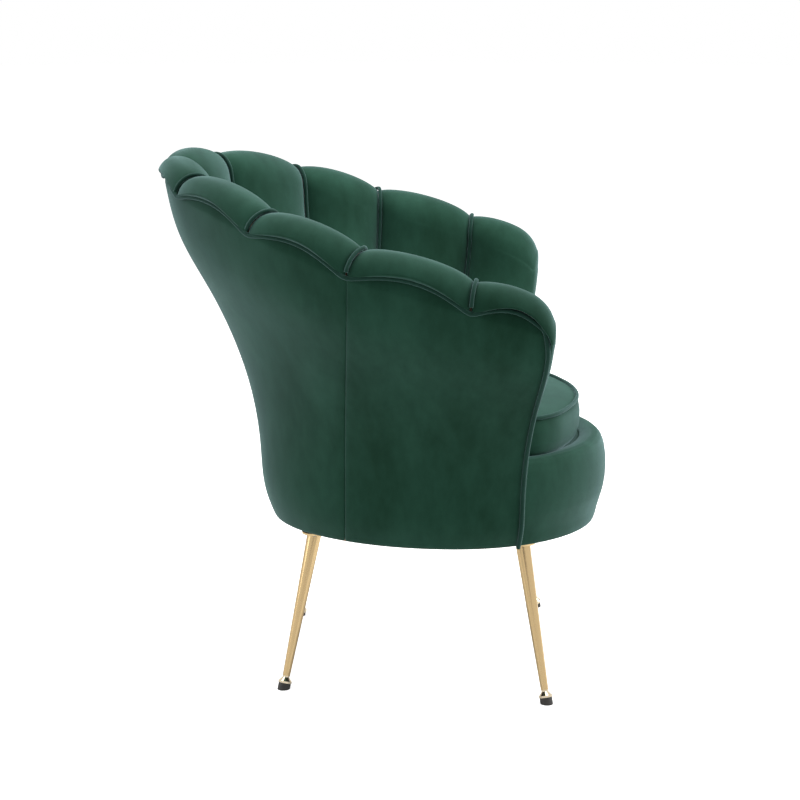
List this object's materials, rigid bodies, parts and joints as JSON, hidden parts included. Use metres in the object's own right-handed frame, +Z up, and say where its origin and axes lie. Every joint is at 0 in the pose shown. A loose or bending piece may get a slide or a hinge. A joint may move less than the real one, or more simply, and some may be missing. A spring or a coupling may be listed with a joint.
{
  "type": "scallop back chair",
  "caption": "Low upholstered tub chair with a scalloped shell of padded channels, piped seams, a loose round-fronted seat cushion and splayed tapered metal legs with screw-in glides.",
  "frame": {"origin": "on the floor under the centre of the chair's bounding box", "axes": "-Y is the way the chair faces, +X is the sitter's left, +Z is up"},
  "size_m": [0.7634, 0.7051, 0.8157],
  "materials": {
    "velvet": "dark green velvet, soft short pile with a pale grey-green sheen at grazing angles",
    "piping": "the same velvet cut on the bias over a cord",
    "leg_metal": "pale polished gold plate on steel tube",
    "glide_metal": "polished pale gold nickel",
    "glide_plastic": "dark moulded plastic, matt",
    "bush_metal": "plain zinc",
    "screw_metal": "plain zinc",
    "timber": "raw plywood and softwood",
    "webbing": "woven elastic strap, matt",
    "lining": "thin black non-woven cloth, matt"
  },
  "bodies": {
    "chair_body": {"base_board": "timber", "seat_rail_back": "timber", "seat_rail_left": "timber", "seat_rail_right": "timber", "seat_rail_front": "timber", "inner_back_board": "timber", "rim_rail_back": "timber", "rim_rail_left": "timber", "rim_rail_right": "timber", "back_post_left": "timber", "back_post_right": "timber", "side_post_left": "timber", "side_post_right": "timber", "arm_post_left": "timber", "arm_post_right": "timber", "webbing_long": "webbing", "webbing_cross": "webbing", "deck_pad": "velvet", "seat_apron": "velvet", "channel_pad_left_1": "velvet", "channel_pad_left_2": "velvet", "channel_pad_left_3": "velvet", "channel_pad_left_4": "velvet", "channel_pad_left_5": "velvet", "channel_pad_right_1": "velvet", "channel_pad_right_2": "velvet", "channel_pad_right_3": "velvet", "channel_pad_right_4": "velvet", "channel_pad_right_5": "velvet", "channel_welt_centre": "piping", "channel_welt_left_1": "piping", "channel_welt_left_2": "piping", "channel_welt_left_3": "piping", "channel_welt_left_4": "piping", "channel_welt_right_1": "piping", "channel_welt_right_2": "piping", "channel_welt_right_3": "piping", "channel_welt_right_4": "piping", "rim_welt": "piping", "outer_back_panel": "velvet", "outer_side_panel_left": "velvet", "outer_side_panel_right": "velvet", "leg_front_left": "leg_metal", "leg_front_right": "leg_metal", "leg_rear_left": "leg_metal", "leg_rear_right": "leg_metal", "leg_plates": "leg_metal", "leg_bushes": "bush_metal", "plate_screws": "screw_metal", "dust_cover": "lining"},
    "loose_cushion": {"seat_cushion": "velvet", "seat_cushion_welt": "piping"},
    "levelling_glide_front_left": {"glide_front_left": "glide_metal", "glide_pad_front_left": "glide_plastic"},
    "levelling_glide_front_right": {"glide_front_right": "glide_metal", "glide_pad_front_right": "glide_plastic"},
    "levelling_glide_rear_left": {"glide_rear_left": "glide_metal", "glide_pad_rear_left": "glide_plastic"},
    "levelling_glide_rear_right": {"glide_rear_right": "glide_metal", "glide_pad_rear_right": "glide_plastic"}
  },
  "joints": [
    {"name": "cushion_lift_out", "type": "slide", "parent": "chair_body", "child": "loose_cushion", "axis": [0, 0, 1], "range_m": [0, 0.45]},
    {"name": "glide_front_left_screw_out", "type": "slide", "parent": "chair_body", "child": "levelling_glide_front_left", "axis": [0.2789, -0.1514, -0.9483], "range_m": [0, 0.008]},
    {"name": "glide_front_right_screw_out", "type": "slide", "parent": "chair_body", "child": "levelling_glide_front_right", "axis": [-0.2789, -0.1514, -0.9483], "range_m": [0, 0.008]},
    {"name": "glide_rear_left_screw_out", "type": "slide", "parent": "chair_body", "child": "levelling_glide_rear_left", "axis": [0.2514, 0.1875, -0.9496], "range_m": [0, 0.008]},
    {"name": "glide_rear_right_screw_out", "type": "slide", "parent": "chair_body", "child": "levelling_glide_rear_right", "axis": [-0.2514, 0.1875, -0.9496], "range_m": [0, 0.008]}
  ]
}
